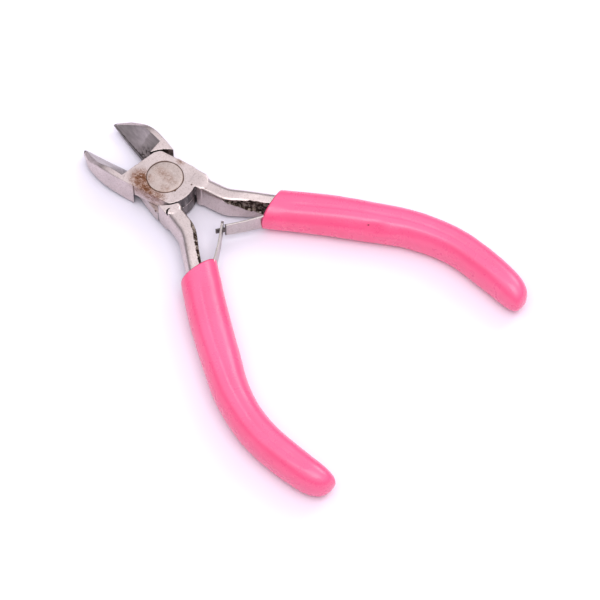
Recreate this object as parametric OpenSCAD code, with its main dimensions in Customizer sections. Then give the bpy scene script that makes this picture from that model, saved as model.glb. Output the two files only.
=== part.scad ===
// Mini diagonal side-cutting pliers: lap joint, flush pivot rivet,
// two interlocked leaf springs and two dipped sleeve grips.
// Frame: +X points to the jaw tips along the middle line between the levers,
// +Z is up. The origin is on the pivot axis, on the underside of the joint.
// Each lever is drawn closed in its own frame and then turned open.

/* [Opening] */
// Angle of each lever from the middle line in the resting, sprung-open pose
open_half = 12.4; // [10:0.1:13]

/* [Joint] */
// Thickness of the joint over both laps
joint_t = 8; // [7.6:0.1:8.4]
// Radius of the round lap plates
lap_r = 7.75; // [7.5:0.05:7.9]
// Radius of the shoulders that face the other lever's lap plate
shoulder_r = 8.1; // [8.05:0.05:8.3]
// Half width of the joint between its two flats
joint_half_w = 6.1; // [6:0.1:6.5]
// Gap between the two laps
lap_gap = 0.1; // [0.05:0.01:0.2]
// Distance of the cheek's square end behind the pivot
cheek_end = 9.3; // [9:0.1:9.8]
// Distance of the shank's inner edge from the middle line
shank_inner = 1.4; // [1.2:0.1:1.6]

/* [Pivot rivet] */
// Radius of the rivet's shaft
rivet_r = 3; // [2.5:0.1:3.4]
// Radius of the rivet's flush head
rivet_head_r = 4.5; // [4.2:0.1:4.8]
// Thickness of the rivet's head
rivet_head_t = 1.3; // [1:0.1:1.6]
// Radius of the spread lower end of the rivet
rivet_foot_r = 4.1; // [3.8:0.1:4.4]
// Running clearance of the rivet in the upper lever
rivet_clear = 0.05; // [0.02:0.01:0.1]
// Clearance of the rivet in the lower lever that holds it
rivet_seat_clear = 0.02; // [0.01:0.01:0.05]

/* [Jaws] */
// Distance from the pivot to the jaw tips
jaw_len = 23.8; // [23.6:0.1:24.2]
// Where the straight outer wall starts to curve towards the tip
jaw_curve_start = 9.5; // [9:0.1:10]
// Radius of the jaw's curved outer wall
jaw_curve_r = 24.6; // [24:0.1:26]
// Where the jaw's top starts to fall towards the tip
jaw_fall_start = 11.5; // [11.3:0.1:12]
// Radius of the rounded start of that fall
jaw_fall_r = 9.6; // [9:0.1:10]
// Final slope of the jaw's top, in degrees
jaw_fall_angle = 34.8; // [34:0.1:36]

/* [Grips] */
// Wall of the sleeve grips
grip_wall = 0.85; // [0.8:0.05:0.9]
// How much deeper the lower lever's grip is pushed on
grip_seat_lower = 0.7; // [0:0.1:1]
// Gap between a grip and the tang inside it
grip_gap = 0.15; // [0.12:0.01:0.2]

/* [Leaf springs] */
// Thickness of the spring leaves
leaf_t = 0.5; // [0.4:0.05:0.6]
// Height of the spring leaves at their roots
leaf_h = 5.2; // [4.8:0.1:5.6]
// Height of the spring leaves at their tips
leaf_tip_h = 4.4; // [4:0.1:4.8]
// Height of the tongue at the end of the upper lever's leaf
tongue_h = 1.6; // [1.4:0.1:1.8]
// Height of the slot in the lower lever's leaf
slot_h = 2; // [1.9:0.1:2.3]
// Angle between a leaf and its handle's line at rest
leaf_angle = 44.7; // [44:0.1:45.5]
// Radius of the small rivets that hold the leaves
leaf_rivet_r = 0.9; // [0.7:0.05:1]

/* [Hidden] */

steel = [0.72, 0.69, 0.66];
spring_steel = [0.66, 0.63, 0.61];
pink = [0.98, 0.36, 0.52];

half_t = joint_t / 2;
round_fn = 96;

// Handle line, in the handle's frame: distance behind the pivot, distance
// outwards from the middle line, half width across, half height.
grip_line = [
    [25.9, 7.4, 4.8, 4.2], [36.8, 12.1, 4.9, 4.4], [47.7, 16.1, 4.7, 4.6],
    [58.6, 19.6, 4.35, 4.7], [69.6, 20.6, 4.1, 4.7], [80.7, 18.6, 4, 4.7],
    [91.9, 15.1, 3.4, 4.5]];
tang_line = [
    [6, 3.7, 2.2, 4], [12, 3.7, 2.25, 4], [15.5, 4, 2.3, 4], [19.5, 5.7, 2.15, 3.9],
    [25, 8.1, 2.15, 3.3], [31, 10.6, 2.2, 3.05], [37, 12.9, 2.3, 3.1], [47.7, 16.3, 2.6, 3.1],
    [58.6, 19.5, 2.5, 3.1], [69.6, 20.5, 2.4, 3], [78, 19.3, 2.2, 2.7], [84, 17.6, 1.6, 2]];
tang_rings = 22;
ring_sides = 20;
grip_corners = [2.8, 2.8];
tang_corners = [8, 2.8];
mouth_lean = 0.44;
grip_cap = 0.11;
tip_side = 0.5;
pocket_end = 0.2;
bore_start = 0.59;

// Leaf spring layout in the handle's frame
leaf_root = [26.2, 3.55];
tail_start = [26.5, 3.85];
tail_bend = [31.05, 7.78];
tail_end = [38.05, 10.46];
leaf_shoulder = 10.05;
tongue_end = 12.35;
slot_start = 9.95;
slot_end = 12.45;
slotted_end = 13.3;
leaf_rivet_at = 4.6;
leaf_rivet_head_r = 1.6;
leaf_rivet_head_t = 0.5;
leaf_rivet_depth = 2;
leaf_rivet_clear = 0.02;
leaf_room = 0.2;
leaf_swing = [-27, 6];

// Position on a smooth curve through all the rows of p, for t from 0 to 1
function curve(p, t) =
    let (n = len(p) - 1, s = min(t * n, n - 0.0001), i = floor(s), u = s - i,
         p0 = p[max(i - 1, 0)], p1 = p[i], p2 = p[i + 1], p3 = p[min(i + 2, n)])
    (2 * p1 + (p2 - p0) * u + (2 * p0 - 5 * p1 + 4 * p2 - p3) * u * u
        + (3 * p1 - p0 - 3 * p2 + p3) * u * u * u) / 2;

function unit(v) = v / norm(v);
function bow(a, power) = sign(a) * pow(abs(a), power);

// One ring of a handle-shaped loft at t. The corners towards the middle line
// and the corners away from it each have their own superellipse exponent.
// lean slides the ring's sides along the line, for an end that isn't square to it.
function handle_ring(line, t, corners, grow, fade = 1, lean = 0) =
    let (c = curve(line, t), d = curve(line, min(t + 0.002, 1)) - curve(line, max(t - 0.002, 0)),
         dir = unit([d[0], d[1]]), side = [-dir[1], dir[0]],
         w = (c[2] + grow) * fade, h = (c[3] + grow) * fade)
    [for (k = [0 : ring_sides - 1]) let (a = 360 * (k + 0.5) / ring_sides,
        power = 2 / (cos(a) < 0 ? corners[0] : corners[1]),
        across = w * bow(cos(a), power) - tip_side * c[2] * (1 - fade), up = h * bow(sin(a), power))
        [c[0] + side[0] * across + dir[0] * lean * across,
         c[1] + side[1] * across + dir[1] * lean * across, up]];

// Closed solid through rings that have the same number of points each
module loft(rings) {
    m = len(rings[0]);
    last = len(rings) - 1;
    sides = [for (i = [0 : last - 1]) for (k = [0 : m - 1]) let (j = (k + 1) % m)
        each [[i * m + k, (i + 1) * m + j, i * m + j], [i * m + k, (i + 1) * m + k, (i + 1) * m + j]]];
    front = [for (k = [1 : m - 2]) [0, k, k + 1]];
    back = [for (k = [1 : m - 2]) [last * m, last * m + k + 1, last * m + k]];
    polyhedron(points = [for (r = rings) each r], faces = concat(sides, front, back));
}

// Places a lever-frame shape: the upper lever's jaw is on the +Y side
module place(upper) {
    translate([0, 0, half_t])
        mirror([0, upper ? 0 : 1, 0])
            rotate([0, 0, open_half]) children();
}

// The handle's frame points backwards along the lever, outwards from the middle line
module in_handle() rotate([0, 0, 180]) children();

// Half space above or below the middle plane, for the lap of the chosen lever
module lap_cut(upper) {
    top = upper ? lap_gap / 2 : half_t + 1;
    low = upper ? -half_t - 1 : -lap_gap / 2;
    translate([0, 0, low]) cylinder(r = shoulder_r, h = top - low, $fn = round_fn);
}

/* Jaw */

jaw_root_relief = 0.4;
jaw_tip_relief = 0.05;
jaw_arc_end = 20.5;
jaw_arc_steps = 8;
jaw_nose = [23.3, 1];

function jaw_wall_y(x) = joint_half_w - jaw_curve_r
    + sqrt(pow(jaw_curve_r, 2) - pow(x - jaw_curve_start, 2));

module jaw_outline() {
    span = jaw_arc_end - jaw_curve_start;
    polygon(concat(
        [[5, jaw_root_relief], [jaw_len, jaw_tip_relief], jaw_nose],
        [for (i = [jaw_arc_steps : -1 : 0]) let (x = jaw_curve_start + span * i / jaw_arc_steps)
            [x, jaw_wall_y(x)]],
        [[0, joint_half_w], [0, 3]]));
}

// Material above the falling top of the jaw, as a side profile
module jaw_top_waste() {
    steps = 6;
    arc_end_x = jaw_fall_start + jaw_fall_r * sin(jaw_fall_angle);
    arc_end_z = half_t - jaw_fall_r * (1 - cos(jaw_fall_angle));
    reach = jaw_len + 2;
    rotate([90, 0, 0]) translate([0, 0, -8]) linear_extrude(10)
        polygon(concat(
            [for (i = [0 : steps]) let (a = jaw_fall_angle * i / steps)
                [jaw_fall_start + jaw_fall_r * sin(a), half_t - jaw_fall_r * (1 - cos(a))]],
            [[reach, arc_end_z - (reach - arc_end_x) * tan(jaw_fall_angle)],
             [reach, half_t + 1], [jaw_fall_start, half_t + 1]]));
}

// Stations of the cutting edge: distance from the pivot, distance from the
// middle line, height over the middle plane, slope of the bevel above it
edge = [[7.8, 0.4, -1.25, 1.13], [13, 0.34, -1.6, 1.38], [18, 0.2, -1.95, 1.15],
        [25, 0.02, -2.05, 0.9]];
bevel_end_skew = 0.35;
bevel_rise = half_t + 1;

module bevel_waste() {
    loft([for (i = [0 : len(edge) - 1]) let (e = edge[i], skew = i == 0 ? bevel_end_skew : 0,
        ridge = e[1] + (bevel_rise - e[2]) / e[3])
        [for (q = [[e[1], e[2]], [ridge, bevel_rise], [e[1] - 0.3, bevel_rise], [e[1] - 0.3, e[2]]])
            [e[0] + skew * q[0], q[0], q[1]]]]);
}

// Small bevel under the cutting edge, growing towards the tip
module under_bevel_waste() {
    root = [11, 0, 0.02];
    tip = [25, 1.15, 2.7];
    loft([for (s = [root, tip]) let (low = -half_t)
        [for (q = [[-1, -1], [jaw_tip_relief + s[2], -1], [jaw_tip_relief + s[2], 0],
                   [jaw_tip_relief, s[1]], [-1, s[1]]])
            [s[0], q[0], low + q[1] + 0.01]]]);
}

module jaw() {
    difference() {
        translate([0, 0, -half_t]) linear_extrude(joint_t) jaw_outline();
        jaw_top_waste();
        bevel_waste();
        under_bevel_waste();
    }
}

/* Levers */

module lap_plate_outline() {
    intersection() {
        circle(r = lap_r, $fn = round_fn);
        square([2 * lap_r + 1, 2 * joint_half_w], center = true);
    }
}

module cheek_outline() {
    polygon([[0, shank_inner], [cheek_end, shank_inner], [cheek_end + 0.9, 3.4],
             [cheek_end, joint_half_w - 0.9], [cheek_end - 0.9, joint_half_w - 0.35],
             [0, joint_half_w]]);
}

module tang() {
    loft([for (i = [0 : tang_rings])
        handle_ring(tang_line, i / tang_rings, tang_corners, 0)]);
}

module rivet_shape(clear) {
    rotate_extrude($fn = round_fn)
        polygon([[0, -half_t], [rivet_foot_r + clear, -half_t], [rivet_r + clear, -half_t + 1.2],
                 [rivet_r + clear, half_t - rivet_head_t - clear],
                 [rivet_head_r + clear, half_t - rivet_head_t - clear],
                 [rivet_head_r + clear, half_t], [0, half_t]]);
}

// Frame at the leaf's rivet: Z points out of the tang's inner face
module at_leaf_rivet() {
    run = unit(tail_end - tail_bend);
    spot = tail_bend + run * leaf_rivet_at;
    translate([spot[0], spot[1], 0]) rotate([0, 0, atan2(run[1], run[0])]) rotate([90, 0, 0]) children();
}

module lever(upper) {
    color(steel) place(upper) difference() {
        union() {
            translate([0, 0, -half_t]) linear_extrude(joint_t) lap_plate_outline();
            jaw();
            in_handle() {
                translate([0, 0, -half_t]) linear_extrude(joint_t) cheek_outline();
                tang();
            }
        }
        lap_cut(upper);
        rivet_shape(upper ? rivet_clear : rivet_seat_clear);
        in_handle() at_leaf_rivet()
            translate([0, 0, -leaf_rivet_depth])
                cylinder(r = leaf_rivet_r + leaf_rivet_clear, h = leaf_rivet_depth + 1, $fn = 32);
    }
}

module upper_lever() lever(true);
module lower_lever() lever(false);

module pivot_rivet() {
    color(steel) translate([0, 0, half_t]) rivet_shape(0);
}

/* Grips */

// Ring places along the grip: even along the body, closer over the round end
body_rings = 14;
cap_rings = 6;
grip_places = concat(
    [for (i = [0 : body_rings]) (1 - grip_cap) * i / body_rings],
    [for (i = [1 : cap_rings]) 1 - grip_cap + grip_cap * sin(90 * i / cap_rings)]);

function cap_fade(t) =
    let (q = max(0, (t - (1 - grip_cap)) / grip_cap)) max(0.12, pow(1 - pow(q, 2.2), 1 / 2.2));

// A ring of the sleeve. The mouth is square to the lever, so the rings near it
// lean, and the whole sleeve is slid by seat along the handle.
function grip_ring(t, grow, seat) =
    [for (p = handle_ring(grip_line, t, grip_corners, grow, cap_fade(t), mouth_lean * max(0, 1 - t / 0.25)))
        p - [seat, 0.4 * seat, 0]];

// Spot near a leaf turned to the angle a: distance from its root along it, and
// side of the room around it
function leaf_spot(a, along, side) =
    leaf_root - along * [cos(a), sin(a)] + side * (leaf_t / 2 + leaf_room) * [sin(a), -cos(a)];

// Room in the grip's mouth for the leaf, over all the angles that it turns through
module leaf_way() {
    reach = 3.2;
    inner = leaf_angle + leaf_swing[1];
    outer = leaf_angle + leaf_swing[0];
    high = leaf_h / 2 + leaf_room;
    translate([0, 0, -high]) linear_extrude(2 * high)
        polygon([leaf_spot(leaf_angle, -reach, 1), leaf_spot(inner, 0, 1),
                 leaf_spot(inner, reach, 1), leaf_spot(outer, reach, -1),
                 leaf_spot(outer, 0, -1), leaf_spot(leaf_angle, -reach, -1)]);
}

module grip(upper) {
    seat = upper ? 0 : grip_seat_lower;
    mouth = grip_ring(0, -grip_wall, seat);
    pocket_rings = 4;
    bore_rings = 10;
    color(pink) place(upper) in_handle() difference() {
        loft([for (t = grip_places) grip_ring(t, 0, seat)]);
        loft(concat(
            [[for (p = mouth) p - [2, 0.8, 0]]],
            [for (i = [0 : pocket_rings]) grip_ring(pocket_end * i / pocket_rings, -grip_wall, seat)],
            [for (i = [0 : bore_rings]) handle_ring(tang_line,
                bore_start + (1 - bore_start) * i / bore_rings, tang_corners, grip_gap)],
            [[for (p = handle_ring(tang_line, 1, tang_corners, grip_gap)) p + [0.3, -0.1, 0]]]));
        leaf_way();
    }
}

module upper_grip() grip(true);
module lower_grip() grip(false);

/* Leaf springs */

// Outline of a strip of leaf_t along a path of points
function strip_side(p, s) = [for (i = [0 : len(p) - 1])
    let (a = unit(p[min(i + 1, len(p) - 1)] - p[min(i, len(p) - 2)]),
         b = unit(p[max(i, 1)] - p[max(i - 1, 0)]), m = unit(a + b),
         n = [-m[1], m[0]] / (m * a))
    p[i] + n * s * leaf_t / 2];
function reversed(p) = [for (i = [len(p) - 1 : -1 : 0]) p[i]];

module strip(path) polygon(concat(strip_side(path, -1), reversed(strip_side(path, 1))));

// Upright plate of a leaf, from the side: X along the leaf, Z up. Its root is round.
module leaf_plate() {
    in_handle() translate([leaf_root[0], leaf_root[1], 0]) rotate([0, 0, 180 + leaf_angle]) {
        rotate([90, 0, 0]) translate([0, 0, -leaf_t / 2]) linear_extrude(leaf_t) children();
        translate([0, 0, -leaf_h / 2]) cylinder(r = leaf_t / 2, h = leaf_h, $fn = 24);
    }
}

module tongue_leaf() {
    color(spring_steel) place(true) leaf_plate() {
        polygon([[0, -leaf_h / 2], [leaf_shoulder, -leaf_tip_h / 2], [leaf_shoulder, leaf_tip_h / 2],
                 [0, leaf_h / 2]]);
        translate([0, -tongue_h / 2]) square([tongue_end, tongue_h]);
    }
}

module slotted_leaf() {
    nose = 1.3;
    color(spring_steel) place(false) leaf_plate() difference() {
        polygon([[0, -leaf_h / 2], [slotted_end - nose, -leaf_tip_h / 2], [slotted_end, -leaf_tip_h / 2 + nose],
                 [slotted_end, leaf_tip_h / 2 - nose], [slotted_end - nose, leaf_tip_h / 2], [0, leaf_h / 2]]);
        translate([slot_start, -slot_h / 2]) square([slot_end - slot_start, slot_h]);
    }
}

module leaf_tail(upper) {
    color(spring_steel) place(upper) in_handle() difference() {
        translate([0, 0, -leaf_h / 2]) linear_extrude(leaf_h) strip([tail_start, tail_bend, tail_end]);
        at_leaf_rivet() translate([0, 0, -1])
            cylinder(r = leaf_rivet_r + leaf_rivet_clear, h = 2, $fn = 32);
    }
}

module leaf_rivet(upper) {
    shank = leaf_rivet_depth - 0.1;
    color(steel) place(upper) in_handle() at_leaf_rivet() {
        translate([0, 0, -shank]) cylinder(r = leaf_rivet_r, h = shank + leaf_t, $fn = 32);
        translate([0, 0, leaf_t / 2 + 0.02])
            cylinder(r1 = leaf_rivet_head_r, r2 = leaf_rivet_r, h = leaf_rivet_head_t, $fn = 32);
    }
}

module tongue_leaf_tail() leaf_tail(true);
module slotted_leaf_tail() leaf_tail(false);
module upper_leaf_rivet() leaf_rivet(true);
module lower_leaf_rivet() leaf_rivet(false);

upper_lever();
lower_lever();
pivot_rivet();
upper_grip();
lower_grip();
tongue_leaf();
slotted_leaf();
tongue_leaf_tail();
slotted_leaf_tail();
upper_leaf_rivet();
lower_leaf_rivet();
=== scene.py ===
"""Mini side-cutting pliers, resting open: the looks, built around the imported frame."""
import math
import bpy
import numpy as np
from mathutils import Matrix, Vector


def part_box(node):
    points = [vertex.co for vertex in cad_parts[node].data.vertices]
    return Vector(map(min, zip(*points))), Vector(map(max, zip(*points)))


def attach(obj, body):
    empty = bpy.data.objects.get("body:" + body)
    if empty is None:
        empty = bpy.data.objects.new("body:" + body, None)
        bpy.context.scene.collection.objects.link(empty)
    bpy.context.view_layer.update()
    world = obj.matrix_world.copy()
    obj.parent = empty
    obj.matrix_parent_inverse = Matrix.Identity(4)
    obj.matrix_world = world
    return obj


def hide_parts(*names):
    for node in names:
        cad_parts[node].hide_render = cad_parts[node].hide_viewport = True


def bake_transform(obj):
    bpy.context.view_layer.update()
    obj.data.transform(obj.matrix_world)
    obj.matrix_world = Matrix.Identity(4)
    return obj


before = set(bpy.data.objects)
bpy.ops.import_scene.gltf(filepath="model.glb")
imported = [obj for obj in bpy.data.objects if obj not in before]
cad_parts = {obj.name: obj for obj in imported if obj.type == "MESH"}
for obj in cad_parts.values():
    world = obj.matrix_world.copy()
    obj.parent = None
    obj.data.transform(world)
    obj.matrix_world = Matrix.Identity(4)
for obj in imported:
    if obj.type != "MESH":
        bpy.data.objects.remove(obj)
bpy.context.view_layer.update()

MM = 0.001
RIVET_LOW, RIVET_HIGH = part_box("pivot_rivet")
MID_Z = (RIVET_LOW.z + RIVET_HIGH.z) / 2 / MM      # the joint's middle plane, in mm
HALF_T = (RIVET_HIGH.z - RIVET_LOW.z) / 2 / MM     # half the joint's thickness, in mm
TOP = MID_Z + HALF_T                               # the joint's top face, in mm
FLOOR_Z = min(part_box("upper_grip")[0].z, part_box("lower_grip")[0].z)

# ---------------------------------------------------------------- camera
CAMERA_ELEVATION = math.radians(60.0)
CAMERA_AZIMUTH = math.radians(222.7)
CAMERA_DISTANCE = 0.742                             # from the pivot's top, along the view axis
CAMERA_LENS, CAMERA_SENSOR = 182.1, 36
AIM_RIGHT, AIM_UP = 0.0330, -0.0301                 # the view axis, seen from the pivot's top


def make_camera():
    ca, sa = math.cos(CAMERA_AZIMUTH), math.sin(CAMERA_AZIMUTH)
    ce, se = math.cos(CAMERA_ELEVATION), math.sin(CAMERA_ELEVATION)
    right = Vector((ca, sa, 0))
    forward = Vector((-sa * ce, ca * ce, -se))
    up = Vector((-sa * se, ca * se, ce))
    top = Vector((0, 0, RIVET_HIGH.z))
    place = top + AIM_RIGHT * right + AIM_UP * up - CAMERA_DISTANCE * forward
    data = bpy.data.cameras.new("camera")
    data.lens = CAMERA_LENS
    data.sensor_width = CAMERA_SENSOR
    data.clip_start = 0.05
    data.clip_end = 20
    camera = bpy.data.objects.new("camera", data)
    camera.location = place
    camera.rotation_euler = forward.to_track_quat("-Z", "Y").to_euler()
    bpy.context.scene.collection.objects.link(camera)
    bpy.context.scene.camera = camera


make_camera()

# ---------------------------------------------------------------- shape values, in mm
OPEN_HALF = math.radians(12.4)
LAP_R, SHOULDER_R, JOINT_HALF_W = 7.75, 8.1, 6.1
LAP_GAP = 0.1
CHEEK_END, SHANK_INNER = 9.3, 1.4
RIVET_R, HEAD_R, HEAD_T, FOOT_R = 3.0, 4.5, 1.3, 4.1
JAW_LEN = 23.8
JAW_CURVE_START, JAW_CURVE_R, JAW_ARC_END = 9.5, 24.6, 20.5
JAW_FALL_START, JAW_FALL_R, JAW_FALL_ANGLE = 11.5, 9.6, math.radians(34.8)
EDGE = np.array([[7.8, 0.4, -1.25, 1.13], [13, 0.34, -1.6, 1.38], [18, 0.2, -1.95, 1.15],
                 [25, 0.02, -2.05, 0.9]])
GRIP_LINE = [
    [25.9, 7.4, 4.8, 4.2], [36.8, 12.1, 4.9, 4.4], [47.7, 16.1, 4.7, 4.6],
    [58.6, 19.6, 4.35, 4.7], [69.6, 20.6, 4.1, 4.7], [80.7, 18.6, 4, 4.7], [91.9, 15.1, 3.4, 4.5]]
TANG_LINE = [
    [6, 3.7, 2.2, 4], [12, 3.7, 2.25, 4], [15.5, 4, 2.3, 4], [19.5, 5.7, 2.15, 3.9],
    [25, 8.1, 2.15, 3.3], [31, 10.6, 2.2, 3.05], [37, 12.9, 2.3, 3.1], [47.7, 16.3, 2.6, 3.1],
    [58.6, 19.5, 2.5, 3.1], [69.6, 20.5, 2.4, 3], [78, 19.3, 2.2, 2.7], [84, 17.6, 1.6, 2]]
LEAF_ROOT = np.array([26.2, 3.55])
LEAF_ANGLE = math.radians(44.7)
LEAF_T, LEAF_H, LEAF_TIP_H = 0.5, 5.2, 4.4
TAIL_BEND, TAIL_END = np.array([31.05, 7.78]), np.array([38.05, 10.46])
LEAF_SHOULDER, TONGUE_END, TONGUE_H = 10.05, 12.35, 1.6
SLOT_START, SLOT_END, SLOT_H, SLOTTED_END = 9.95, 12.45, 2.0, 13.3


# ---------------------------------------------------------------- small tools
def to_world(points, upper, in_handle=False):
    """Points of a closed lever's own frame, in mm, as metres in the row frame."""
    p = np.array(points, float)
    if in_handle:
        p[:, :2] *= -1
    c, s = math.cos(OPEN_HALF), math.sin(OPEN_HALF)
    x, y = c * p[:, 0] - s * p[:, 1], s * p[:, 0] + c * p[:, 1]
    return np.stack([x, y if upper else -y, p[:, 2] + MID_Z], 1) * MM


def turned(faces):
    """The same faces seen from their other side, for a piece that is mirrored."""
    return [tuple(reversed(f)) for f in faces]


def new_mesh(name, points, faces, layers=None):
    """A smooth-shaded mesh object from points in metres, with one value per point in each layer."""
    mesh = bpy.data.meshes.new(name)
    mesh.from_pydata(points.tolist(), [], faces)
    mesh.polygons.foreach_set("use_smooth", [True] * len(mesh.polygons))
    for key, values in (layers or {}).items():
        layer = mesh.attributes.new(key, "FLOAT", "POINT")
        layer.data.foreach_set("value", values.astype(np.float32))
    mesh.update()
    piece = bpy.data.objects.new(name, mesh)
    bpy.context.scene.collection.objects.link(piece)
    return piece


def smoothstep(lo, hi, v):
    t = np.clip((v - lo) / (hi - lo), 0, 1)
    return t * t * (3 - 2 * t)


LATTICE = 32                                        # lattice cells before the noise repeats


def lattice_noise(x, y, z, cell, seed):
    """Smooth value noise from -1 to 1, with lattice cells of the given size."""
    table = np.random.RandomState(seed).uniform(-1, 1, (LATTICE, LATTICE, LATTICE))
    total, coords = 0, []
    for v in (x, y, z):
        q = np.asarray(v, float) / cell
        i = np.floor(q).astype(int)
        f = q - i
        coords.append((i, f * f * (3 - 2 * f)))
    (ix, fx), (iy, fy), (iz, fz) = coords
    for a in (0, 1):
        for b in (0, 1):
            for c in (0, 1):
                weight = (fx if a else 1 - fx) * (fy if b else 1 - fy) * (fz if c else 1 - fz)
                corner = (ix + a) % LATTICE, (iy + b) % LATTICE, (iz + c) % LATTICE
                total = total + weight * table[corner]
    return total


def curve(rows, t):
    """The smooth curve that part.scad draws through its rows, at t from 0 to 1."""
    p = np.array(rows, float)
    n = len(p) - 1
    s = np.minimum(np.asarray(t, float) * n, n - 1e-4)
    i = np.floor(s).astype(int)
    u = (s - i)[..., None]
    p0, p1, p2, p3 = p[np.maximum(i - 1, 0)], p[i], p[i + 1], p[np.minimum(i + 2, n)]
    return (2 * p1 + (p2 - p0) * u + (2 * p0 - 5 * p1 + 4 * p2 - p3) * u * u
            + (3 * p1 - p0 - 3 * p2 + p3) * u ** 3) / 2


# ---------------------------------------------------------------- solid fields
# Each field is a distance in mm, negative inside. Joins and cuts round their edges by a radius.
SHARP = 0.05                                        # the radius of a crisp edge


def both(a, b, r):
    return np.minimum(np.maximum(a, b), -r) + np.hypot(np.maximum(a + r, 0), np.maximum(b + r, 0))


def either(a, b, r):
    return -both(-a, -b, r)


def without(a, b, r):
    return both(a, -b, r)


def polygon_field(x, y, points):
    """The distance to a closed outline."""
    x, y = np.broadcast_arrays(x, y)
    best = np.full(x.shape, 1e9)
    inside = np.zeros(x.shape, bool)
    for (ax, ay), (bx, by) in zip(points, points[1:] + points[:1]):
        ex, ey = bx - ax, by - ay
        wx, wy = x - ax, y - ay
        t = np.clip((wx * ex + wy * ey) / (ex * ex + ey * ey), 0, 1)
        best = np.minimum(best, (wx - ex * t) ** 2 + (wy - ey * t) ** 2)
        if ay != by:
            inside ^= ((ay > y) != (by > y)) & (x < ex * (y - ay) / ey + ax)
    return np.where(inside, -1, 1) * np.sqrt(best)


def jaw_outline():
    xs = np.linspace(JAW_ARC_END, JAW_CURVE_START, 15)
    ys = JOINT_HALF_W - JAW_CURVE_R + np.sqrt(JAW_CURVE_R ** 2 - (xs - JAW_CURVE_START) ** 2)
    return ([(5, 0.4), (JAW_LEN, 0.05), (JAW_LEN - 0.5, 1.0)] + list(zip(xs, ys))
            + [(0, JOINT_HALF_W), (0, 3)])


JAW = jaw_outline()
CHEEK = [(0, SHANK_INNER), (CHEEK_END, SHANK_INNER), (CHEEK_END + 0.9, 3.4),
         (CHEEK_END, JOINT_HALF_W - 0.9), (CHEEK_END - 0.9, JOINT_HALF_W - 0.35), (0, JOINT_HALF_W)]
TANG = curve(TANG_LINE, np.linspace(0, 1, 600))
TANG_SLOPE = np.gradient(TANG[:, 1], TANG[:, 0])
LEVER_BACK = 33.0                                   # where the detailed part of a lever ends
SHANK_START, SHANK_UNDER = 6, 0.15                  # it starts inside the lap, under its flat top
CHEEK_FALL_START, CHEEK_FALL = 7.6, 0.05            # the cheek's top curves down behind this
BEVEL_LEAN = 0.35                                   # how the bevel's rear end slants
UNDER_START, UNDER_WIDE, UNDER_TALL = 11, 2.68, 1.15    # the taper under the cutting edge
FOOT_CONE = 1.2                                     # height of the rivet foot's cone
PIT_X, PIT_Y, PIT_R, PIT_HALF_W = 9.3, 4.3, 1.15, 0.17
UPPER_SEED, LOWER_SEED = 11, 23
# the torn band in each shank: where it starts, how deep it is, and how high its upper edge is
TORN = {UPPER_SEED: (14.0, 0.5, 3.55), LOWER_SEED: (13.0, 0.8, 3.9)}
TORN_AT, TORN_LOW = [0, 2, 6, 12, 20], [4.2, 2.7, 0.6, -1.9, -2.4]   # its lower edge along it
TORN_FLOOR, TORN_RAMP = 0.15, 2.5


def tang_section(hx, hy):
    """Where a point lies in the tang's section: offset across, half width, half height."""
    cos = 1 / np.hypot(1, np.interp(hx, TANG[:, 0], TANG_SLOPE))
    across = (hy - np.interp(hx, TANG[:, 0], TANG[:, 1])) * cos
    return across, np.interp(hx, TANG[:, 0], TANG[:, 2]), np.interp(hx, TANG[:, 0], TANG[:, 3])


def tang_field(hx, hy, z):
    across, w, h = tang_section(hx, hy)
    power = np.where(across < 0, 7.0, 2.3)
    a, b = np.abs(across) / w + 1e-6, np.abs(z) / h + 1e-6
    g = (a ** power + b ** power) ** (1 / power)
    steep = np.hypot((a / g) ** (power - 1) / w, (b / g) ** (power - 1) / h)
    return np.maximum((g - 1) / np.maximum(steep, 0.05), -4)


def fall_field(x, z):
    """The jaw's top: flat, then a rounded shoulder, then a straight fall."""
    cx, cz = JAW_FALL_START, HALF_T - JAW_FALL_R
    angle = np.arctan2(x - cx, z - cz)
    arc = np.hypot(x - cx, z - cz) - JAW_FALL_R
    sn, cs = math.sin(JAW_FALL_ANGLE), math.cos(JAW_FALL_ANGLE)
    plane = (x - cx - JAW_FALL_R * sn) * sn + (z - cz - JAW_FALL_R * cs) * cs
    return np.where(angle < 0, z - HALF_T, np.where(angle > JAW_FALL_ANGLE, plane, arc))


def bevel_field(x, y, z):
    """Negative where the cutting bevel has been ground away."""
    ye, ze, slope = (np.interp(x, EDGE[:, 0], EDGE[:, k]) for k in (1, 2, 3))
    above = (z - ze - slope * (y - ye)) / np.sqrt(1 + slope ** 2)
    behind = -(x - EDGE[0, 0] - BEVEL_LEAN * y) / math.hypot(1, BEVEL_LEAN)
    return both(-above, behind, SHARP)


def torn_field(hx, hy, z, seed):
    """Negative in the rough band where the shank's inner face is torn back."""
    across, w, _ = tang_section(hx, hy)
    rough = lattice_noise(hx, hy, z, 0.8, seed) + 0.6 * lattice_noise(hx, hy, z, 0.37, seed + 1)
    start, deep, top = TORN[seed]
    low = np.interp(hx - start, TORN_AT, TORN_LOW)
    depth = TORN_FLOOR + deep * smoothstep(start, start + TORN_RAMP, hx) + 0.16 * rough
    inside = np.maximum(across + w - depth, low + 0.35 * rough - z)
    return np.maximum(inside, z - top - 0.1 * rough)


def pit_field(hx, hy, z):
    """A crescent left by the casting, behind the lower lever's cheek."""
    ring = np.abs(np.hypot(hx - PIT_X, hy - PIT_Y) - PIT_R) / PIT_HALF_W
    side = (hy - PIT_Y - 0.5 * (hx - PIT_X) - PIT_R) / 0.75
    return (np.sqrt(ring ** 2 + side ** 2 + ((z - HALF_T + 0.15) / 0.55) ** 2) - 1) * PIT_HALF_W


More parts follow.
